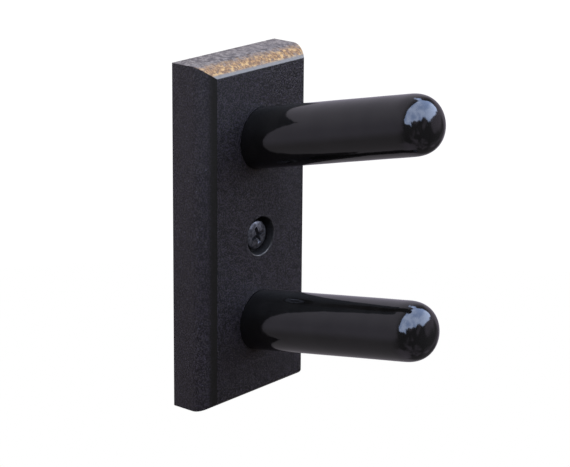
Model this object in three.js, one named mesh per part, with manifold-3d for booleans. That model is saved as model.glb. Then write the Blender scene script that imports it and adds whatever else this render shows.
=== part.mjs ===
// A wall cue rack: a moulded board that one screw holds to the wall, with two vinyl-sleeved
// pegs let into it one above the other, tilted up so that a cue laid on them stays put.
//
// Millimetres, +Z up. The origin is the point where the wall screw's axis crosses the wall.
// The board's back lies on the wall, in the plane y = 0, and the pegs stand out towards -Y.

import * as THREE from 'three';
import { mergeVertices } from 'three/addons/utils/BufferGeometryUtils.js';
import Module from 'manifold-3d';

const wasm = await Module();
wasm.setup();

// Clearance between pieces that fit into each other.
const GAP = 0.3;

// The board: a flat lip at the wall, then the same moulded edge worked along all four sides.
const BOARD_WIDTH = 56;
const BOARD_HEIGHT = 130;
const BOARD_THICKNESS = 18;
const BOARD_CENTRE_Z = 2;
const LIP_DEPTH = 9.2;
const EDGE_INSET = 4.1;
const SHOULDER_DEPTH = 12.5;
const FLANK_DEPTH = 15.9;
const FLANK_INSET = 2;
const EDGE_STEPS = 10;

// The pegs: where each axis meets the board's front face, from the board's middle, its upward
// tilt in degrees, and how far it reaches. Lengths along a peg are counted from that point.
const PEGS = [
  { name: 'upper', z: 35.2, tilt: 13.3, reach: 80.8 },
  { name: 'lower', z: -34.35, tilt: 9.25, reach: 79.6 },
];
const SOCKET_DEPTH = 10;
const PEG_BASE = GAP - SOCKET_DEPTH;

// The sleeve is straight in its socket, then tapers slightly towards the shoulder of its dome.
const SLEEVE_RADIUS = 11.3;
const SHOULDER_RADIUS = 10.95;
const SLEEVE_WALL = 1.45;
const SLEEVE_TIP = 2;

// A peg's end: a blunt dome, the outline of a superellipse.
const DOME_DEPTH = 11;
const DOME_POWER = 2.6;
const DOME_STEPS = 8;

// The screw that draws each peg into its socket, driven from the board's back.
const PEG_SCREW = {
  shank: 2.1,
  head: 4,
  headDepth: 2.5,
  rim: 0.4,
  length: 32,
  point: 5,
  sink: 0.4,
  slotWidth: 1,
  slotSpan: 4.6,
};

// The wall screw: a pan head at the bottom of a round well in the board's front.
const WALL_SCREW = {
  shank: 2.75,
  head: 5.3,
  headDepth: 3.3,
  rim: 2.4,
  length: 35,
  point: 7,
  slotWidth: 1.4,
  slotSpan: 6.8,
  turn: -20,
};
const WELL_RADIUS = 7.25;
const WELL_DEPTH = 4.6;
const CLEARANCE_RADIUS = WALL_SCREW.shank + GAP;

// How much of a screw head's depth its cross recess takes.
const RECESS_SHARE = 0.6;

const ROUND = 48;
const SMALL_ROUND = 24;
const OVERSHOOT = 6;
const CROWN_STEPS = 5;

const MATERIALS = {
  board: new THREE.MeshStandardMaterial({ color: 0x2b2a30, roughness: 0.8, metalness: 0 }),
  sleeve: new THREE.MeshStandardMaterial({ color: 0x0b0b0d, roughness: 0.12, metalness: 0 }),
  core: new THREE.MeshStandardMaterial({ color: 0xc9a673, roughness: 0.7, metalness: 0 }),
  screw: new THREE.MeshStandardMaterial({ color: 0x6c727c, roughness: 0.35, metalness: 1 }),
};

function radians(degrees) {
  return THREE.MathUtils.degToRad(degrees);
}

// A three.js geometry as a closed solid that can be cut.
function toSolid(geometry) {
  const bare = geometry.clone();
  bare.deleteAttribute('normal');
  bare.deleteAttribute('uv');
  const merged = mergeVertices(bare);
  return new wasm.Manifold(new wasm.Mesh({
    numProp: 3,
    vertProperties: Float32Array.from(merged.attributes.position.array),
    triVerts: Uint32Array.from(merged.index.array),
  }));
}

function toGeometry(solid) {
  const { vertProperties, triVerts } = solid.getMesh();
  const geometry = new THREE.BufferGeometry();
  geometry.setAttribute('position', new THREE.BufferAttribute(vertProperties, 3));
  geometry.setIndex(new THREE.BufferAttribute(triVerts, 1));
  geometry.computeVertexNormals();
  return geometry;
}

function turned(points, segments) {
  const outline = points.map(([radius, along]) => new THREE.Vector2(radius, along));
  return new THREE.LatheGeometry(outline, segments);
}

function named(name, geometry, material) {
  const mesh = new THREE.Mesh(geometry, material);
  mesh.name = name;
  return mesh;
}

// One moulded section of the board: its span across, and its depth from the wall towards -Y.
function boardSection(span) {
  const half = span / 2;
  const shape = new THREE.Shape();
  shape.moveTo(-half, -LIP_DEPTH);
  shape.lineTo(-half, 0);
  shape.lineTo(half, 0);
  shape.lineTo(half, -LIP_DEPTH);
  shape.bezierCurveTo(
    half, -SHOULDER_DEPTH,
    half - FLANK_INSET, -FLANK_DEPTH,
    half - EDGE_INSET, -BOARD_THICKNESS,
  );
  shape.lineTo(EDGE_INSET - half, -BOARD_THICKNESS);
  shape.bezierCurveTo(
    FLANK_INSET - half, -FLANK_DEPTH,
    -half, -SHOULDER_DEPTH,
    -half, -LIP_DEPTH,
  );
  return shape;
}

function boardStrip(span, length) {
  const strip = new THREE.ExtrudeGeometry(boardSection(span), {
    depth: length,
    bevelEnabled: false,
    curveSegments: EDGE_STEPS,
  });
  return strip.translate(0, 0, -length / 2);
}

// The edge is worked along all four sides, so two crossed strips meet in mitred corners.
function boardBlank() {
  const upright = boardStrip(BOARD_WIDTH, BOARD_HEIGHT);
  const across = boardStrip(BOARD_HEIGHT, BOARD_WIDTH).rotateY(Math.PI / 2);
  return toSolid(upright).intersect(toSolid(across));
}

// How far along a peg, inwards, the top of its screw's head lies: just under the board's back.
function screwHeadAt(peg) {
  const tilt = radians(peg.tilt);
  return PEG_SCREW.sink + PEG_SCREW.head * Math.tan(tilt) - BOARD_THICKNESS / Math.cos(tilt);
}

// The socket for a peg, the hole for its screw and the countersink for the screw's head.
function socketCutter(peg) {
  const head = screwHeadAt(peg);
  const hole = PEG_SCREW.shank + GAP;
  const sunk = PEG_SCREW.head + GAP;
  return turned([
    [0, head - OVERSHOOT],
    [sunk, head - OVERSHOOT],
    [sunk, head + PEG_SCREW.rim],
    [hole, head + PEG_SCREW.headDepth],
    [hole, -SOCKET_DEPTH],
    [SLEEVE_RADIUS + GAP, -SOCKET_DEPTH],
    [SLEEVE_RADIUS + GAP, OVERSHOOT],
    [0, OVERSHOOT],
  ], ROUND);
}

// The wall screw's well and its clearance hole, along the board's depth.
function wellCutter() {
  const floor = WELL_DEPTH - BOARD_THICKNESS;
  return turned([
    [0, -BOARD_THICKNESS - OVERSHOOT],
    [WELL_RADIUS, -BOARD_THICKNESS - OVERSHOOT],
    [WELL_RADIUS, floor],
    [CLEARANCE_RADIUS, floor],
    [CLEARANCE_RADIUS, OVERSHOOT],
    [0, OVERSHOOT],
  ], ROUND);
}

// A group whose +Y runs outwards along a peg, from where the peg leaves the board's front.
function pegGroup(peg) {
  const group = new THREE.Group();
  group.position.set(0, -BOARD_THICKNESS, BOARD_CENTRE_Z + peg.z);
  group.rotation.x = Math.PI - radians(peg.tilt);
  group.updateMatrix();
  return group;
}

function boardGeometry(groups) {
  let solid = boardBlank().translate([0, 0, BOARD_CENTRE_Z]);
  PEGS.forEach((peg, i) => {
    solid = solid.subtract(toSolid(socketCutter(peg).applyMatrix4(groups[i].matrix)));
  });
  return toGeometry(solid.subtract(toSolid(wellCutter())));
}

// Half the outline of a domed end, from the straight side to the tip on the axis.
function dome(radius, tip, depth) {
  const points = [];
  for (let i = 0; i <= DOME_STEPS; i++) {
    const turn = (i / DOME_STEPS) * (Math.PI / 2);
    const across = i === DOME_STEPS ? 0 : radius * Math.cos(turn) ** (2 / DOME_POWER);
    points.push([across, tip - depth + depth * Math.sin(turn) ** (2 / DOME_POWER)]);
  }
  return points;
}

// Half the outline of a sleeve's outside, or of a surface `inset` within it, from base to tip.
function pegOutline(inset, tip) {
  return [
    [SLEEVE_RADIUS - inset, PEG_BASE],
    [SLEEVE_RADIUS - inset, 0],
    ...dome(SHOULDER_RADIUS - inset, tip, DOME_DEPTH - inset),
  ];
}

function sleeveGeometry(peg) {
  const bore = pegOutline(SLEEVE_WALL, peg.reach - SLEEVE_TIP);
  return turned([...bore.reverse(), ...pegOutline(0, peg.reach)], ROUND);
}

// The dowel inside the sleeve, with the hole that its screw bites into.
function coreGeometry(peg) {
  const hole = PEG_SCREW.shank + GAP;
  const holeEnd = screwHeadAt(peg) + PEG_SCREW.length + GAP;
  return turned([
    [0, holeEnd + hole],
    [hole, holeEnd],
    [hole, PEG_BASE],
    ...pegOutline(SLEEVE_WALL + GAP, peg.reach - SLEEVE_TIP - GAP),
  ], ROUND);
}

// A screw's cross recess: two crossed slots, sunk both ways from y = 0.
function crossRecess({ slotWidth, slotSpan, headDepth }) {
  const height = 2 * headDepth * RECESS_SHARE;
  const slot = toSolid(new THREE.BoxGeometry(slotSpan, height, slotWidth));
  return slot.add(toSolid(new THREE.BoxGeometry(slotWidth, height, slotSpan)));
}

// A countersunk screw along +Y, the flat of its head at y = 0.
function pegScrewGeometry() {
  const { shank, head, headDepth, rim, length, point } = PEG_SCREW;
  const body = turned([
    [0, 0],
    [head, 0],
    [head, rim],
    [shank, headDepth],
    [shank, length - point],
    [0, length],
  ], SMALL_ROUND);
  return toGeometry(toSolid(body).subtract(crossRecess(PEG_SCREW)));
}

// A pan-head screw along +Y, the underside of its head at y = 0.
function wallScrewGeometry() {
  const { shank, head, headDepth, rim, length, point } = WALL_SCREW;
  const crown = headDepth - rim;
  const profile = [];
  for (let i = 0; i <= CROWN_STEPS; i++) {
    const turn = (i / CROWN_STEPS) * (Math.PI / 2);
    profile.push([head * Math.sin(turn), -rim - crown * Math.cos(turn)]);
  }
  profile.push([head, 0], [shank, 0], [shank, length - point], [0, length]);
  const recess = crossRecess(WALL_SCREW).translate([0, -headDepth, 0]);
  return toGeometry(toSolid(turned(profile, ROUND)).subtract(recess));
}

function pegPieces(peg) {
  const screw = named(`${peg.name}_peg_screw`, pegScrewGeometry(), MATERIALS.screw);
  screw.position.y = screwHeadAt(peg);
  return [
    named(`${peg.name}_peg_core`, coreGeometry(peg), MATERIALS.core),
    named(`${peg.name}_peg_sleeve`, sleeveGeometry(peg), MATERIALS.sleeve),
    screw,
  ];
}

function wallScrew() {
  const screw = named('wall_screw', wallScrewGeometry(), MATERIALS.screw);
  screw.position.y = WELL_DEPTH - BOARD_THICKNESS;
  screw.rotation.y = radians(WALL_SCREW.turn);
  return screw;
}

function buildRack() {
  const rack = new THREE.Group();
  const groups = PEGS.map(pegGroup);
  groups.forEach((group, i) => group.add(...pegPieces(PEGS[i])));
  rack.add(named('moulded_board', boardGeometry(groups), MATERIALS.board), ...groups, wallScrew());
  return rack;
}

export default buildRack();
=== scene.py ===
"""Looks of the wall cue rack: a painted board, two glossy sleeved pegs and their screws.

Metres, in the CAD's frame: the wall is the plane y = 0, the pegs stand out towards -Y, +Z is up.
"""

import math
from typing import NamedTuple

import bmesh
import bpy
import numpy as np
from mathutils import Matrix, Vector, noise


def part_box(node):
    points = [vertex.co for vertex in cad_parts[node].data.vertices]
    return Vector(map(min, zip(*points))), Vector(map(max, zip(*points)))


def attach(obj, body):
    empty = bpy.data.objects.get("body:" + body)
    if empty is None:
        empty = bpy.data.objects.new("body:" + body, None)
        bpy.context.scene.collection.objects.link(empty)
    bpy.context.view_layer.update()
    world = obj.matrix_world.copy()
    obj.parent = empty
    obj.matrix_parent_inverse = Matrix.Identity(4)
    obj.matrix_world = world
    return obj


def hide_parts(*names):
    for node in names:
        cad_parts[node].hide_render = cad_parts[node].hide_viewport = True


MM = 0.001
PEGS = ("upper", "lower")

# The camera: its angles in degrees, and its place from the middle of the board's back.
CAMERA_AZIMUTH = -49.9
CAMERA_ELEVATION = 16.77
CAMERA_ROLL = 0.476
CAMERA_DISTANCE = 0.8617
CAMERA_RIGHT = 0.02268
CAMERA_UP = -0.0043
CAMERA_LENS = 146.33
SENSOR = 36.0

# The board's moulded edge: depths from the wall and insets from the outline.
LIP_DEPTH = 9.2 * MM
SHOULDER_DEPTH = 12.5 * MM
FLANK_DEPTH = 15.9 * MM
FLANK_INSET = 2 * MM
EDGE_INSET = 4.1 * MM
EDGE_STEPS = 28

# The softening of every edge where two faces meet at more than the angle in degrees.
SOFTENED_ANGLE = 20
EDGE_SOFTENING = 0.2 * MM
EDGE_SOFTENING_STEPS = 3

# The holes cut in the board: two angled sockets and the wall screw's well.
SOCKET_GAP = 0.03 * MM
SOCKET_DEPTH = 10 * MM
SINK_RADIUS = 4.3 * MM
SCREW_HOLE_RADIUS = 2.4 * MM
WELL_RADIUS = 7.25 * MM
WELL_DEPTH = 4.6 * MM
WELL_CHAMFER = 0.25 * MM
CLEARANCE_RADIUS = 3.05 * MM
OVERSHOOT = 6 * MM
SLIVER = 0.001 * MM

# The vinyl sleeves. A higher dome power makes a blunter tip, and a power of 2 an ellipse.
DOME_RADIUS = 10.95 * MM
SLEEVE_BURIED = 9.7 * MM
SLEEVE_WALL = 1.45 * MM
SLEEVE_TIP_WALL = 2 * MM
SLEEVE_ROWS = 100
SLEEVE_WAVE = 0.05 * MM
SLEEVE_WAVE_SIZE = 13 * MM
DOME_DEPTH = 11 * MM
DOME_POWER = 2.6
DOME_STEPS = 40

# The screws' heads.
PAN_RIM = 2.4 * MM
PAN_DEPTH = 3.3 * MM
PAN_STEPS = 14
PAN_SOFTENING = 0.25 * MM
FLAT_RIM = 0.4 * MM
FLAT_DEPTH = 2.5 * MM
FLAT_SOFTENING = 0.1 * MM

# The screws' threads: a ridge's half width in pitches, and its height before its crest is cut flat.
RIDGE_HALF_WIDTH = 0.32
RIDGE_OVERSIZE = 1.15
THREAD_ROW = 0.13 * MM
THREAD_RUN_IN_ROWS = 12

# Corners around a turned piece, and the angle in degrees past which an edge is shaded sharp.
ROUND = 128
SCREW_ROUND = 64
BOARD_SHARP = 25
SLEEVE_SHARP = 40
SCREW_SHARP = 35


class ScrewSizes(NamedTuple):
    """A wood screw: radii, lengths along its axis, and its cross recess."""

    shank: float
    root: float
    plain_length: float
    point_length: float
    pitch: float
    recess_span: float
    recess_width: float
    recess_depth: float


WALL_SCREW = ScrewSizes(
    shank=2.75 * MM,
    root=1.85 * MM,
    plain_length=15 * MM,
    point_length=8 * MM,
    pitch=2.6 * MM,
    recess_span=6.9 * MM,
    recess_width=1.5 * MM,
    recess_depth=2.1 * MM,
)
PEG_SCREW = ScrewSizes(
    shank=2.1 * MM,
    root=1.45 * MM,
    plain_length=9 * MM,
    point_length=6 * MM,
    pitch=2.0 * MM,
    recess_span=4.5 * MM,
    recess_width=1.0 * MM,
    recess_depth=1.6 * MM,
)

# A recess's span and width above the crown and at its bottom, as shares of those at the crown.
RECESS_ABOVE = (1.5, 1.5)
RECESS_BOTTOM = (0.42, 0.62)

# How far each screw's recess is turned, in degrees.
WALL_RECESS_TURN = -20
PEG_RECESS_TURNS = {"upper": 30, "lower": 55}

# Paint on the board. Every colour here is linear red, green and blue.
PAINT_PIT = (0.0008, 0.0006, 0.0008)
PAINT_COOL = (0.024, 0.0177, 0.0215)
PAINT_WARM = (0.0245, 0.0193, 0.0165)
# Painted shade on the board's sides.
PAINTED_SHADE_ON_SIDES = (0.0105, 0.0083, 0.0098)
PAINT_SPECK = (0.07, 0.064, 0.07)
# Painted shade on the smooth band next to the front face.
PAINTED_SHADE_ON_SMOOTH_BAND = (0.003, 0.0026, 0.0018)
# A painted reflection on the smooth band at the top.
PAINTED_SHEEN_ON_TOP_BAND = (0.1, 0.087, 0.07)
PAINT_IN_WELL = (0.012, 0.0105, 0.0095)
PAINT_RUBBED = (0.022, 0.019, 0.017)
PAINT_REFLECTION = (0.96, 0.86, 0.66)
GRAIN_SIZE = 0.56 * MM
GRAIN_SHARE = 0.88
GRAIN_HEIGHT = 0.07 * MM

# Distances behind the board's front face between which each band fades in or out, and how
# ragged the worn band's back is.
# The smooth band also bounds painted shade on the sides and a painted sheen on the top.
SMOOTH_BAND_AND_PAINTED_LIGHT = (3.1 * MM, 1.1 * MM)
WELL_PAINT = (10 * MM, 9.9 * MM)
WORN_BACK = (7.8 * MM, 2.8 * MM)
WORN_FRONT = (1.6 * MM, 0.7 * MM)
WORN_RAGGED_BY = 4.4 * MM

# Dust and a painted sheen on what faces up, and the bare fibreboard where the top moulding is worn.
DUST_AND_SHEEN_THIN = (0.046, 0.0385, 0.0335)
DUST_AND_SHEEN_THICK = (0.108, 0.0905, 0.0765)
DUST_NICK = (0.026, 0.023, 0.021)
FIBRE_DARK = (0.07, 0.034, 0.015)
FIBRE_LIGHT = (0.18, 0.096, 0.035)
FIBRE_FLAKE = (0.31, 0.185, 0.065)
FIBRE_HEIGHT = 0.15 * MM

VINYL_DARK = (0.0018, 0.0015, 0.0012)
VINYL_LIGHT = (0.003, 0.0025, 0.002)
STEEL_DARK = (0.067, 0.061, 0.059)
STEEL_LIGHT = (0.145, 0.134, 0.126)
WOOD_DARK = (0.45, 0.28, 0.13)
WOOD_LIGHT = (0.68, 0.5, 0.28)

# The surroundings that the vinyl reflects.
SKY_DIM = (2.8, 3.7, 6.1)
SKY_BRIGHT = (5.1, 6.1, 8.6)
WALL_LOW = (0.51, 0.48, 0.59)
WALL_HIGH = (0.67, 0.64, 0.76)
GROUND = (0.3, 0.28, 0.31)
SHADE_DARK = (0.13, 0.125, 0.135)
SHADE_LIGHT = (0.46, 0.41, 0.5)

# The soft light panels, and the white stage.
PANEL_DISTANCE = 1.0
PANEL_SIZE = 0.9
STAGE_RADIUS = 5.0
FLOOR_HEIGHT = -1.5
FLOOR_BRIGHTNESS = 1.0
BACKDROP_BRIGHTNESS = 1.05


def bezier(a, b, c, d, t):
    """A cubic curve's value at t, from a to d."""
    s = 1 - t
    return s ** 3 * a + 3 * s * s * t * b + 3 * s * t * t * c + t ** 3 * d


def new_object(name, bm):
    """A new object in the scene, made from bm, which is freed."""
    mesh = bpy.data.meshes.new(name)
    bm.normal_update()
    bm.to_mesh(mesh)
    bm.free()
    obj = bpy.data.objects.new(name, mesh)
    bpy.context.scene.collection.objects.link(obj)
    return obj


def solid(name, bm, rings):
    """A closed solid through rings of corners. A ring of one corner is a point."""
    segments = max(len(ring) for ring in rings)
    for low, high in zip(rings, rings[1:]):
        for i in range(segments):
            j = (i + 1) % segments
            corners = [low[i % len(low)], low[j % len(low)], high[j % len(high)], high[i % len(high)]]
            bm.faces.new(dict.fromkeys(corners))
    for end in (rings[0], rings[-1]):
        if len(end) > 1:
            bm.faces.new(end)
    bmesh.ops.recalc_face_normals(bm, faces=bm.faces)
    return new_object(name, bm)


def turned(name, rows):
    """A closed turned solid. rows are (radius, along) from one end of the axis to the other."""
    bm = bmesh.new()
    turns = [2 * math.pi * i / ROUND for i in range(ROUND)]
    rings = []
    for radius, along in rows:
        if radius <= 0:
            rings.append([bm.verts.new((0, 0, along))])
        else:
            rings.append([bm.verts.new((radius * math.cos(t), radius * math.sin(t), along)) for t in turns])
    return solid(name, bm, rings)


def smooth(obj, angle):
    """Smooth shading, sharp where faces meet at more than the angle in degrees."""
    obj.data.polygons.foreach_set("use_smooth", [True] * len(obj.data.polygons))
    obj.data.set_sharp_from_angle(angle=math.radians(angle))


def apply_modifiers(obj):
    """Gives obj the mesh that its modifiers make, and removes them."""
    graph = bpy.context.evaluated_depsgraph_get()
    mesh = bpy.data.meshes.new_from_object(obj.evaluated_get(graph))
    obj.modifiers.clear()
    obj.data = mesh


def cut(obj, cutter):
    """Cuts the cutter's shape out of obj, and deletes the cutter."""
    boolean = obj.modifiers.new("cut", "BOOLEAN")
    boolean.operation = "DIFFERENCE"
    boolean.solver = "MANIFOLD"
    boolean.object = cutter
    apply_modifiers(obj)
    bpy.data.objects.remove(cutter)
    # The cut can leave slivers a fraction of a micrometre wide, so they are closed up.
    bm = bmesh.new()
    bm.from_mesh(obj.data)
    bmesh.ops.dissolve_degenerate(bm, dist=SLIVER, edges=bm.edges)
    bm.to_mesh(obj.data)
    bm.free()


def axis_of(node):
    """A turned CAD node's axis: a matrix whose +Z runs outwards along it, its two ends and its radius."""
    low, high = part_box(node)
    points = np.array([v.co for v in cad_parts[node].data.vertices], float)
    # Corners less than a micrometre apart are the same corner, shared by several faces.
    points = np.unique(points.round(6), axis=0)
    middle = points.mean(0)
    middle[0] = (low.x + high.x) / 2
    # The corners spread most along the axis, which has no x and runs away from the wall.
    spread = np.linalg.svd(points - middle, full_matrices=False)[2][0]
    spread *= -np.sign(spread[1])
    spread[0] = 0
    spread /= np.linalg.norm(spread)
    along = (points - middle) @ spread
    radius = np.linalg.norm(points - middle - np.outer(along, spread), axis=1).max()
    out = Vector(spread)
    side = Vector((1, 0, 0))
    turn = Matrix((side, out.cross(side), out)).transposed().to_4x4()
    return Matrix.Translation(Vector(middle)) @ turn, along.min(), along.max(), radius


def edge_profile():
    """(depth, inset) pairs from the wall out to the board's front face."""
    depth = abs(board_low.y)
    points = [(0.0, 0.0)]
    for i in range(EDGE_STEPS + 1):
        t = i / EDGE_STEPS
        points.append((
            bezier(LIP_DEPTH, SHOULDER_DEPTH, FLANK_DEPTH, depth, t),
            bezier(0, 0, FLANK_INSET, EDGE_INSET, t),
        ))
    return points


def board_blank():
    """The board with its moulded edge, before any hole is cut."""
    bm = bmesh.new()
    rings = []
    for depth, inset in edge_profile():
        low_x, high_x = board_low.x + inset, board_high.x - inset
        low_z, high_z = board_low.z + inset, board_high.z - inset
        corners = [(low_x, low_z), (high_x, low_z), (high_x, high_z), (low_x, high_z)]
        rings.append([bm.verts.new((x, -depth, z)) for x, z in corners])
    board = solid("board", bm, rings)
    bevel = board.modifiers.new("soft edges", "BEVEL")
    bevel.width = EDGE_SOFTENING
    bevel.segments = EDGE_SOFTENING_STEPS
    bevel.limit_method = "ANGLE"
    bevel.angle_limit = math.radians(SOFTENED_ANGLE)
    apply_modifiers(board)
    return board


def peg_cutter(peg):
    """A peg's socket, and the countersunk hole for its screw behind it."""
    place, base, _, radius = axis_of(f"{peg}_peg_sleeve")
    screw_place, screw_low, _, _ = axis_of(f"{peg}_peg_screw")
    head = (place.inverted() @ screw_place @ Vector((0, 0, screw_low))).z
    rows = [
        (0, head - OVERSHOOT),
        (SINK_RADIUS, head - OVERSHOOT),
        (SINK_RADIUS, head + FLAT_RIM),
        (SCREW_HOLE_RADIUS, head + FLAT_DEPTH),
        (SCREW_HOLE_RADIUS, base - SOCKET_GAP),
        (radius + SOCKET_GAP, base - SOCKET_GAP),
        (radius + SOCKET_GAP, base + SOCKET_DEPTH + OVERSHOOT),
        (0, base + SOCKET_DEPTH + OVERSHOOT),
    ]
    cutter = turned("peg cutter", rows)
    cutter.data.transform(place)
    return cutter


def well_cutter():
    """The wall screw's well, with a worn, slightly broken mouth, and the hole behind it."""
    front = abs(board_low.y)
    rows = [
        (0, front + OVERSHOOT),
        (WELL_RADIUS + WELL_CHAMFER, front + OVERSHOOT),
        (WELL_RADIUS + WELL_CHAMFER, front),
        (WELL_RADIUS, front - WELL_CHAMFER),
        (WELL_RADIUS, front - WELL_DEPTH),
        (CLEARANCE_RADIUS, front - WELL_DEPTH),
        (CLEARANCE_RADIUS, -OVERSHOOT),
        (0, -OVERSHOOT),
    ]
    cutter = turned("well cutter", rows)
    cutter.data.transform(Matrix.Rotation(math.radians(90), 4, "X"))
    return cutter


def make_board():
    """The moulded board with its two sockets and its well."""
    board = board_blank()
    for peg in PEGS:
        cut(board, peg_cutter(peg))
    cut(board, well_cutter())
    smooth(board, BOARD_SHARP)
    return board


def dome(radius, tip, depth):
    """Rows of a rounded end, from where it leaves the peg's side to its tip."""
    rows = []
    for i in range(DOME_STEPS + 1):
        turn = i / DOME_STEPS * math.pi / 2
        across = 0 if i == DOME_STEPS else radius * math.cos(turn) ** (2 / DOME_POWER)
        rows.append((across, tip - depth + depth * math.sin(turn) ** (2 / DOME_POWER)))
    return rows


def tapered(start_radius, start, end_radius, end):
    """Evenly spaced rows along a tapered part of a turned piece, without its last one."""
    rows = []
    for i in range(SLEEVE_ROWS):
        t = i / SLEEVE_ROWS
        rows.append((start_radius + (end_radius - start_radius) * t, start + (end - start) * t))
    return rows


def make_sleeve(peg, seed):
    """The vinyl skin, very slightly uneven, as a dipped or stretched skin is."""
    place, base, tip, radius = axis_of(f"{peg}_peg_sleeve")
    leaves_board = base + SLEEVE_BURIED
    bore = radius - SLEEVE_WALL
    inside = dome(DOME_RADIUS - SLEEVE_WALL, tip - SLEEVE_TIP_WALL, DOME_DEPTH - SLEEVE_WALL)
    rows = inside[::-1] + [(bore, leaves_board), (bore, base), (radius, base)]
    rows += tapered(radius, leaves_board, DOME_RADIUS, tip - DOME_DEPTH)
    rows += dome(DOME_RADIUS, tip, DOME_DEPTH)
    sleeve = turned(f"{peg}_sleeve", rows)
    normals = [vertex.normal.copy() for vertex in sleeve.data.vertices]
    for vertex, normal in zip(sleeve.data.vertices, normals):
        sample = vertex.co / SLEEVE_WAVE_SIZE + Vector((seed, 0, 0))
        vertex.co -= normal * SLEEVE_WAVE * (1 + noise.noise(sample))
    sleeve.data.transform(place)
    smooth(sleeve, SLEEVE_SHARP)
    return sleeve


def screw_rows(head_rows, sizes, length):
    """Rows (along, crest radius, root radius) from the head's crown down to the screw's point."""
    rows = [(along, radius, radius) for radius, along in head_rows]
    if head_rows[-1][0] > sizes.shank:
        rows.append((0.0, sizes.shank, sizes.shank))
    threaded = length - sizes.plain_length
    count = int(threaded / THREAD_ROW)
    for i in range(count):
        along = sizes.plain_length + threaded * i / count
        taper = min(1.0, (length - along) / sizes.point_length)
        run_in = min(1.0, i / THREAD_RUN_IN_ROWS)
        root = sizes.shank + (sizes.root - sizes.shank) * run_in
        rows.append((along, sizes.shank * taper, root * taper))
    return rows


def thread_ring(along, crest, root, pitch):
    """Corners around the screw, where a helical ridge crosses one row."""
    corners = []
    for i in range(SCREW_ROUND):
        phase = (along / pitch - i / SCREW_ROUND) % 1.0
        ridge = max(0.0, 1 - abs(phase - 0.5) / RIDGE_HALF_WIDTH)
        radius = root + (crest - root) * min(1.0, ridge * RIDGE_OVERSIZE)
        turn = 2 * math.pi * i / SCREW_ROUND
        corners.append((radius * math.cos(turn), radius * math.sin(turn), along))
    return corners


def recess_cutter(crown, sizes, recess_turn):
    """A cross recess: a plus-shaped outline that narrows with depth."""
    deep = sizes.recess_depth
    levels = ((crown - deep, *RECESS_ABOVE), (crown, 1.0, 1.0), (crown + deep, *RECESS_BOTTOM))
    bm = bmesh.new()
    rings = []
    for along, span_scale, width_scale in levels:
        reach = sizes.recess_span / 2 * span_scale
        side = sizes.recess_width / 2 * width_scale
        ring = []
        for quarter in range(4):
            turn = Matrix.Rotation(math.radians(recess_turn + 90 * quarter), 4, "Z")
            for x, y in ((reach, -side), (reach, side), (side, side)):
                ring.append(bm.verts.new(turn @ Vector((x, y, along))))
        rings.append(ring)
    return solid("recess cutter", bm, rings)


def make_screw(name, node, head_rows, sizes, length, recess_turn, place):
    """A wood screw as one skin: head, plain shank and a real helical thread down to the point."""
    rows = screw_rows(head_rows, sizes, length)
    crown = rows[0][0]
    bm = bmesh.new()
    rings = [[bm.verts.new((0, 0, crown))]]
    for along, crest, root in rows[1:]:
        rings.append([bm.verts.new(corner) for corner in thread_ring(along, crest, root, sizes.pitch)])
    rings.append([bm.verts.new((0, 0, length))])
    screw = solid(name, bm, rings)
    cut(screw, recess_cutter(crown, sizes, recess_turn))
    screw.data.transform(place)
    smooth(screw, SCREW_SHARP)
    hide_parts(node)
    return screw


def pan_head(radius):
    """Rows (radius, along) of a domed head that sits on its flat underside at along = 0."""
    rows = []
    crown = PAN_DEPTH - PAN_RIM
    for i in range(PAN_STEPS + 1):
        turn = i / PAN_STEPS * math.pi / 2
        rows.append((radius * math.sin(turn), -PAN_RIM - crown * math.cos(turn)))
    return rows + [(radius, -PAN_SOFTENING), (radius - PAN_SOFTENING, 0.0)]


def flat_head(radius, shank):
    """Rows (radius, along) of a countersunk head whose flat top is at along = 0."""
    return [
        (0, 0),
        (radius - FLAT_SOFTENING, 0),
        (radius, FLAT_SOFTENING),
        (radius, FLAT_RIM),
        (shank, FLAT_DEPTH),
    ]


def make_wall_screw():
    """The big screw in the well, which holds the rack on the wall."""
    low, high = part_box("wall_screw")
    rows = pan_head((high.x - low.x) / 2)
    seat = low.y + PAN_DEPTH
    length = high.y - seat
    into_wall = Matrix.Translation((0, seat, 0)) @ Matrix.Rotation(math.radians(-90), 4, "X")
    turn = WALL_RECESS_TURN
    return make_screw("wall_fixing", "wall_screw", rows, WALL_SCREW, length, turn, into_wall)


def make_peg_screw(peg):
    """A screw from the board's back into a peg's end."""
    node = f"{peg}_peg_screw"
    place, low, high, head = axis_of(node)
    rows = flat_head(head, PEG_SCREW.shank)
    turn = PEG_RECESS_TURNS[peg]
    start = place @ Matrix.Translation((0, 0, low))
    return make_screw(f"{peg}_fixing", node, rows, PEG_SCREW, high - low, turn, start)


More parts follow.
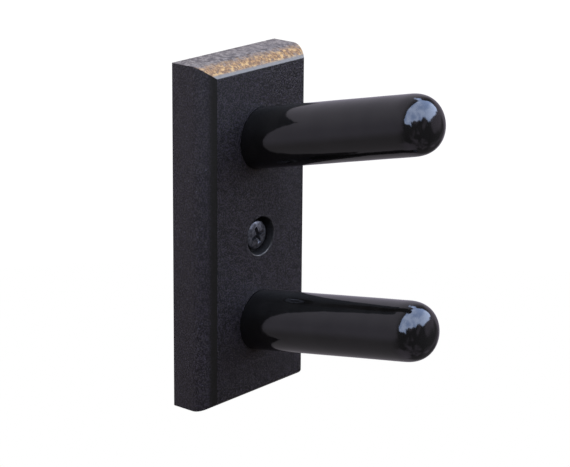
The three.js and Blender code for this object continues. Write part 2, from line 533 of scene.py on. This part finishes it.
class Nodes:
    """A node tree, with short calls for the nodes used here."""

    def __init__(self, tree, space):
        self.tree = tree
        coords = tree.nodes.new("ShaderNodeTexCoord")
        self.place = coords.outputs[space]
        self.facing = coords.outputs["Normal"]

    def put(self, socket, value):
        """Links or sets a node's socket. A tuple is a colour."""
        if isinstance(value, bpy.types.NodeSocket):
            self.tree.links.new(value, socket)
        elif isinstance(value, tuple):
            socket.default_value = (*value, 1.0)
        else:
            socket.default_value = value

    def split(self, vector):
        node = self.tree.nodes.new("ShaderNodeSeparateXYZ")
        self.put(node.inputs[0], vector)
        return node.outputs

    def math(self, operation, a, b=0.0):
        node = self.tree.nodes.new("ShaderNodeMath")
        node.operation = operation
        self.put(node.inputs[0], a)
        self.put(node.inputs[1], b)
        return node.outputs[0]

    def plus(self, a, b):
        return self.math("ADD", a, b)

    def times(self, a, b):
        return self.math("MULTIPLY", a, b)

    def span(self, value, low, high, to_low=0.0, to_high=1.0):
        """value from low..high, smoothly, to to_low..to_high."""
        node = self.tree.nodes.new("ShaderNodeMapRange")
        node.interpolation_type = "SMOOTHSTEP"
        for socket, item in zip(node.inputs, (value, low, high, to_low, to_high)):
            self.put(socket, item)
        return node.outputs[0]

    def scaled(self, size, stretch=(1, 1, 1)):
        """The place in units of size, or of size times stretch along each axis."""
        node = self.tree.nodes.new("ShaderNodeMapping")
        self.put(node.inputs["Vector"], self.place)
        node.inputs["Scale"].default_value = [1 / (size * s) for s in stretch]
        return node.outputs[0]

    def noise(self, size, detail=2.0, stretch=(1, 1, 1), roughness=0.5):
        """Noise with features of about the given size, longer along an axis where stretch is more."""
        node = self.tree.nodes.new("ShaderNodeTexNoise")
        self.put(node.inputs["Vector"], self.scaled(size, stretch))
        node.inputs["Scale"].default_value = 1.0
        node.inputs["Detail"].default_value = detail
        node.inputs["Roughness"].default_value = roughness
        return node.outputs[0]

    def cells(self, size):
        """Distance to the nearest of scattered points about the given size apart, in units of it."""
        node = self.tree.nodes.new("ShaderNodeTexVoronoi")
        self.put(node.inputs["Vector"], self.scaled(size))
        node.inputs["Scale"].default_value = 1.0
        return node.outputs["Distance"]

    def mix(self, factor, a, b):
        node = self.tree.nodes.new("ShaderNodeMix")
        node.data_type = "RGBA"
        self.put(node.inputs["Factor"], factor)
        self.put(node.inputs["A"], a)
        self.put(node.inputs["B"], b)
        return node.outputs["Result"]

    def bump(self, height, distance, strength, normal=None):
        node = self.tree.nodes.new("ShaderNodeBump")
        self.put(node.inputs["Height"], height)
        node.inputs["Distance"].default_value = distance
        node.inputs["Strength"].default_value = strength
        if normal is not None:
            self.put(node.inputs["Normal"], normal)
        return node.outputs[0]


class Shader(Nodes):
    """A material."""

    def __init__(self, name):
        self.material = bpy.data.materials.new(name)
        self.material.use_nodes = True
        super().__init__(self.material.node_tree, "Object")
        self.surface = self.tree.nodes["Principled BSDF"]

    def set(self, name, value):
        self.put(self.surface.inputs[name], value)


def black_paint(s, tone, wallward, smooth_band_and_painted_light):
    """Fine-grained black paint with a few pale specks, with painted shade on the sides and on the smooth
    band.
    """
    fleck = s.mix(s.span(s.noise(0.9 * MM), 0.4, 0.6), PAINT_COOL, PAINT_WARM)
    paint = s.mix(s.span(tone, 0.44, 0.6), PAINT_PIT, fleck)
    # Painted shade: the sides, which face neither the front nor the wall, are painted darker than the two
    # faces.
    edge = s.span(s.math("ABSOLUTE", wallward), 0.85, 0.95, 0.42, 0.0)
    paint = s.mix(edge, paint, PAINTED_SHADE_ON_SIDES)
    speck = s.span(s.cells(2.4 * MM), 0.07, 0.12, 0.35, 0.0)
    paint = s.mix(speck, paint, PAINT_SPECK)
    # Painted shade: the smooth band is painted darker.
    return s.mix(s.times(smooth_band_and_painted_light, 0.9), paint, PAINTED_SHADE_ON_SMOOTH_BAND)


def dust_and_sheen(s, paint, upward, smooth_band_and_painted_light):
    """A grey film on whatever faces up, partly dust and handling and partly a painted sheen, with small
    nicks in it.
    """
    streaks = s.noise(1.6 * MM, 4.0, stretch=(1, 1.8, 1), roughness=0.6)
    # Partly dust, partly painted sheen: what faces up is painted a lighter grey.
    dust = s.times(s.span(upward, 0.3, 0.9), s.span(streaks, 0.36, 0.58, 0.2, 1.0))
    film = s.mix(s.span(s.noise(0.6 * MM), 0.35, 0.65), DUST_AND_SHEEN_THIN, DUST_AND_SHEEN_THICK)
    nick = s.span(s.cells(3.1 * MM), 0.05, 0.12, 0.7, 0.0)
    film = s.mix(nick, film, DUST_NICK)
    paint = s.mix(dust, paint, film)
    # Painted sheen: the smooth band on what faces up is painted a lighter grey, a painted reflection.
    top_band_sheen = s.times(s.span(upward, 0.4, 0.65), s.span(streaks, 0.3, 0.55, 0.8, 1.0))
    return s.mix(s.times(top_band_sheen, smooth_band_and_painted_light), paint, PAINTED_SHEEN_ON_TOP_BAND)


def band(s, depth, behind_front, to_low=0.0, to_high=1.0):
    """to_low to to_high across the two distances behind the board's front face."""
    start, end = (abs(board_low.y) - distance for distance in behind_front)
    return s.span(depth, start, end, to_low, to_high)


def worn_part(s, depth, z, upward):
    """Where the top moulding is worn bare: ragged at the back and straight at the front."""
    ragged = s.times(s.math("SUBTRACT", s.noise(2.4 * MM, 4.0), 0.5), WORN_RAGGED_BY)
    back_edge = band(s, s.plus(depth, ragged), WORN_BACK)
    front_edge = band(s, depth, WORN_FRONT, 1.0, 0.0)
    near_top = s.span(z, board_high.z - 2 * EDGE_INSET, board_high.z - EDGE_INSET)
    top = s.times(near_top, s.span(upward, 0.25, 0.4))
    bare = s.times(s.times(back_edge, front_edge), top)
    paint_left = s.noise(1.9 * MM, 3.0)
    return s.times(bare, s.span(paint_left, 0.34, 0.5, 0.5, 1.0))


def fibreboard(s, fibre):
    """Brown fibreboard with paler flakes."""
    raw = s.mix(s.span(fibre, 0.36, 0.62), FIBRE_DARK, FIBRE_LIGHT)
    flake = s.noise(1.8 * MM)
    return s.mix(s.span(flake, 0.52, 0.64, 0.0, 0.7), raw, FIBRE_FLAKE)


def around_well(s, base, place, depth, patch):
    """The drilled well's mouth is rubbed paler in places, and its inside is evenly dark."""
    x, _, z = place
    from_axis = s.math("SQRT", s.plus(s.times(x, x), s.times(z, z)))
    beside = s.span(from_axis, WELL_RADIUS + 0.3 * MM, WELL_RADIUS + 0.7 * MM, 1.0, 0.0)
    rim = s.times(beside, band(s, depth, (WELL_CHAMFER, 0.5 * WELL_CHAMFER)))
    rim = s.times(rim, s.span(patch, 0.42, 0.6))
    base = s.mix(rim, base, PAINT_RUBBED)
    inside = s.span(from_axis, WELL_RADIUS, WELL_RADIUS + 0.05 * MM, 1.0, 0.0)
    return s.mix(s.times(inside, band(s, depth, WELL_PAINT)), base, PAINT_IN_WELL)


def board_paint():
    """Matt, fine-grained black paint, worn through to the brown board on the top moulding."""
    s = Shader("board_paint")
    place = s.split(s.place)
    _, wallward, upward = s.split(s.facing)
    depth = s.times(place[1], -1.0)
    grain = s.noise(GRAIN_SIZE, 3.0, roughness=0.55)
    patch = s.noise(2.6 * MM)
    tone = s.plus(s.times(grain, GRAIN_SHARE), s.times(patch, 1 - GRAIN_SHARE))
    # The cutter left the moulding smoother next to the front face, so the paint is smoother too.
    # The band also carries painted light: painted shade on the sides and a painted sheen on the top.
    smooth_band_and_painted_light = s.times(band(s, depth, SMOOTH_BAND_AND_PAINTED_LIGHT), s.span(wallward, -0.97, -0.9))
    paint = black_paint(s, tone, wallward, smooth_band_and_painted_light)
    paint = dust_and_sheen(s, paint, upward, smooth_band_and_painted_light)
    fibre = s.noise(0.7 * MM, 3.0, stretch=(1, 1.3, 1.3), roughness=0.6)
    worn = worn_part(s, depth, place[2], upward)
    base = s.mix(worn, paint, fibreboard(s, fibre))
    s.set("Base Color", around_well(s, base, place, depth, patch))

    matt = s.span(tone, 0.4, 0.65, 0.46, 0.6)
    s.set("Roughness", s.span(smooth_band_and_painted_light, 0.0, 1.0, matt, 0.5))
    s.set("Specular IOR Level", 0.25)
    s.set("Specular Tint", PAINT_REFLECTION)
    rough = s.times(grain, s.span(smooth_band_and_painted_light, 0.0, 1.0, 1.0, 0.25))
    fine = s.bump(rough, GRAIN_HEIGHT, 0.5)
    s.set("Normal", s.bump(s.times(fibre, worn), FIBRE_HEIGHT, 0.6, fine))
    return s.material


def vinyl():
    """High-gloss black vinyl with the faint unevenness and dust of a dipped skin."""
    s = Shader("vinyl")
    cloud = s.noise(9 * MM)
    s.set("Base Color", s.mix(s.span(cloud, 0.35, 0.65), VINYL_DARK, VINYL_LIGHT))
    dust = s.noise(0.8 * MM, 3.0, roughness=0.7)
    s.set("Roughness", s.span(dust, 0.45, 0.75, 0.08, 0.14))
    s.set("IOR", 1.5)
    wave = s.bump(s.noise(6 * MM, 1.0), 0.25 * MM, 0.25)
    s.set("Normal", s.bump(s.noise(1.1 * MM), 0.02 * MM, 0.3, wave))
    return s.material


def screw_steel():
    """Dark zinc-plated steel, slightly dulled and scuffed."""
    s = Shader("screw_steel")
    stain = s.noise(1.2 * MM, 3.0)
    s.set("Base Color", s.mix(s.span(stain, 0.35, 0.65), STEEL_DARK, STEEL_LIGHT))
    s.set("Metallic", 1.0)
    scuff = s.noise(0.35 * MM, 3.0, stretch=(1, 3, 1))
    s.set("Roughness", s.span(scuff, 0.35, 0.7, 0.4, 0.56))
    s.set("Normal", s.bump(scuff, 0.02 * MM, 0.4))
    return s.material


def dowel_wood():
    """Bare turned hardwood, its grain running along the peg."""
    s = Shader("dowel_wood")
    grain = s.noise(0.7 * MM, 4.0, stretch=(1, 14, 2.5), roughness=0.6)
    s.set("Base Color", s.mix(s.span(grain, 0.35, 0.65), WOOD_DARK, WOOD_LIGHT))
    s.set("Roughness", s.span(grain, 0.3, 0.7, 0.55, 0.72))
    s.set("Normal", s.bump(grain, 0.05 * MM, 0.5))
    return s.material


def dress(obj, material):
    """Gives obj one material."""
    obj.data.materials.clear()
    obj.data.materials.append(material)


def camera_axes():
    """The camera's directions: backwards, right and up, then right and up with its roll."""
    a, e, r = (math.radians(x) for x in (CAMERA_AZIMUTH, CAMERA_ELEVATION, CAMERA_ROLL))
    back = Vector((math.sin(a) * math.cos(e), -math.cos(a) * math.cos(e), math.sin(e)))
    right = Vector((math.cos(a), math.sin(a), 0))
    up = back.cross(right)
    turned_right = right * math.cos(r) + up * math.sin(r)
    turned_up = up * math.cos(r) - right * math.sin(r)
    return back, right, up, turned_right, turned_up


def add_camera():
    """A camera where the photograph was taken from."""
    back, right, up, turned_right, turned_up = camera_axes()
    data = bpy.data.cameras.new("camera")
    data.lens = CAMERA_LENS
    data.sensor_width = SENSOR
    data.clip_start = 0.01
    data.clip_end = 100
    camera = bpy.data.objects.new("camera", data)
    target = Vector((0, 0, (board_low.z + board_high.z) / 2))
    place = target + right * CAMERA_RIGHT + up * CAMERA_UP + back * CAMERA_DISTANCE
    turn = Matrix((turned_right, turned_up, back)).transposed().to_4x4()
    camera.matrix_world = Matrix.Translation(place) @ turn
    bpy.context.scene.collection.objects.link(camera)
    bpy.context.scene.camera = camera


def add_panel(name, towards, radiance, tint):
    """A square soft light seen from the rack in the given direction, but not seen in reflections."""
    data = bpy.data.lights.new(name, "AREA")
    data.shape = "SQUARE"
    data.size = PANEL_SIZE
    data.energy = radiance * math.pi * PANEL_SIZE * PANEL_SIZE
    data.color = tint
    light = bpy.data.objects.new(name, data)
    direction = Vector(towards).normalized()
    light.location = direction * PANEL_DISTANCE
    light.rotation_mode = "QUATERNION"
    light.rotation_quaternion = direction.to_track_quat("Z", "Y")
    light.visible_glossy = False
    bpy.context.scene.collection.objects.link(light)


def add_world():
    """An open sky above a dark, ragged skyline, and a grey wall behind the rack."""
    world = bpy.data.worlds.new("world")
    world.use_nodes = True
    s = Nodes(world.node_tree, "Generated")
    x, y, z = s.split(s.place)

    # z at the skyline, for a direction x, y, z one unit long. It is lower to the right and at
    # the far left, and highest over the wall.
    front = s.span(x, 0.15, 0.65, 0.44, 0.17)
    behind = s.span(s.plus(y, s.times(x, 0.25)), -0.2, 0.2, 0.0, 0.6)
    left = s.span(s.math("ABSOLUTE", s.plus(x, 0.95)), 0.06, 0.14, -0.2, 0.0)
    ragged = s.times(s.math("SUBTRACT", s.noise(0.3, 3.0), 0.5), 0.45)
    skyline = s.plus(s.plus(front, behind), s.plus(left, ragged))
    above = s.span(s.math("SUBTRACT", z, skyline), -0.03, 0.05)
    sky = s.mix(s.span(s.noise(0.5), 0.35, 0.65), SKY_DIM, SKY_BRIGHT)

    wall = s.mix(s.span(z, 0.0, 0.6), WALL_LOW, WALL_HIGH)
    wall_side = s.mix(s.span(z, -0.6, -0.15), GROUND, wall)
    room_side = s.mix(s.span(s.noise(0.6), 0.44, 0.64), SHADE_DARK, SHADE_LIGHT)
    below = s.mix(s.span(y, 0.05, 0.5), room_side, wall_side)
    background = s.tree.nodes["Background"]
    s.put(background.inputs["Color"], s.mix(above, below, sky))
    s.put(background.inputs["Strength"], 1.0)
    bpy.context.scene.world = world


def white_surface(name, bm, brightness):
    """A plain white stage surface that the camera sees and that casts no light on the rack."""
    obj = new_object(name, bm)
    s = Shader(name)
    s.set("Base Color", (0.0, 0.0, 0.0))
    s.set("Specular IOR Level", 0.0)
    s.set("Emission Color", (1.0, 1.0, 1.0))
    s.set("Emission Strength", brightness)
    dress(obj, s.material)
    obj.visible_diffuse = False
    obj.visible_glossy = False
    obj.visible_shadow = False


def add_stage():
    """A floor inside a backdrop sphere, near enough for every camera to see its far side."""
    half = STAGE_RADIUS
    floor = bmesh.new()
    corners = ((-half, -half), (half, -half), (half, half), (-half, half))
    floor.faces.new([floor.verts.new((x, y, FLOOR_HEIGHT)) for x, y in corners])
    white_surface("floor", floor, FLOOR_BRIGHTNESS)
    backdrop = bmesh.new()
    bmesh.ops.create_icosphere(backdrop, subdivisions=3, radius=STAGE_RADIUS)
    bmesh.ops.reverse_faces(backdrop, faces=backdrop.faces)
    white_surface("backdrop", backdrop, BACKDROP_BRIGHTNESS)


def build_rack():
    """Every piece: its shape, its material, the node it stands for and the body it rides on."""
    board = make_board()
    dress(board, board_paint())
    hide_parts("moulded_board")
    skin, steel, wood = vinyl(), screw_steel(), dowel_wood()
    pieces = [board]
    for seed, peg in enumerate(PEGS):
        sleeve = make_sleeve(peg, seed)
        dress(sleeve, skin)
        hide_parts(f"{peg}_peg_sleeve")
        fixing = make_peg_screw(peg)
        dress(fixing, steel)
        dress(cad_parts[f"{peg}_peg_core"], wood)
        pieces += [sleeve, fixing]
    wall_fixing = make_wall_screw()
    dress(wall_fixing, steel)
    for piece in pieces + [wall_fixing]:
        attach(piece, "root")


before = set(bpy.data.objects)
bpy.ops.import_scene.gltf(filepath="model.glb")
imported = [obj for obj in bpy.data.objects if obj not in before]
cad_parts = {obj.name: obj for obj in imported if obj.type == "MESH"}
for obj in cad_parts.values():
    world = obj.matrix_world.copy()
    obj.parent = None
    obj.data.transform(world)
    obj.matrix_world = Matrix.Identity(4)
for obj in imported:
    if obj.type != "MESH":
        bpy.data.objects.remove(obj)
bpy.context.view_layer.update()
board_low, board_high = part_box("moulded_board")

add_camera()
build_rack()
add_world()
add_stage()
add_panel("right_panel", (1.0, -0.3, 0.1), 2.5, (1.0, 1.0, 1.0))
add_panel("upper_panel", (0.3, 0.5, 0.8), 6.6, (1.0, 0.94, 0.86))
add_panel("left_panel", (-0.8, 0.5, 0.4), 3.1, (0.85, 0.99, 1.1))

bpy.context.scene.view_settings.view_transform = "Standard"
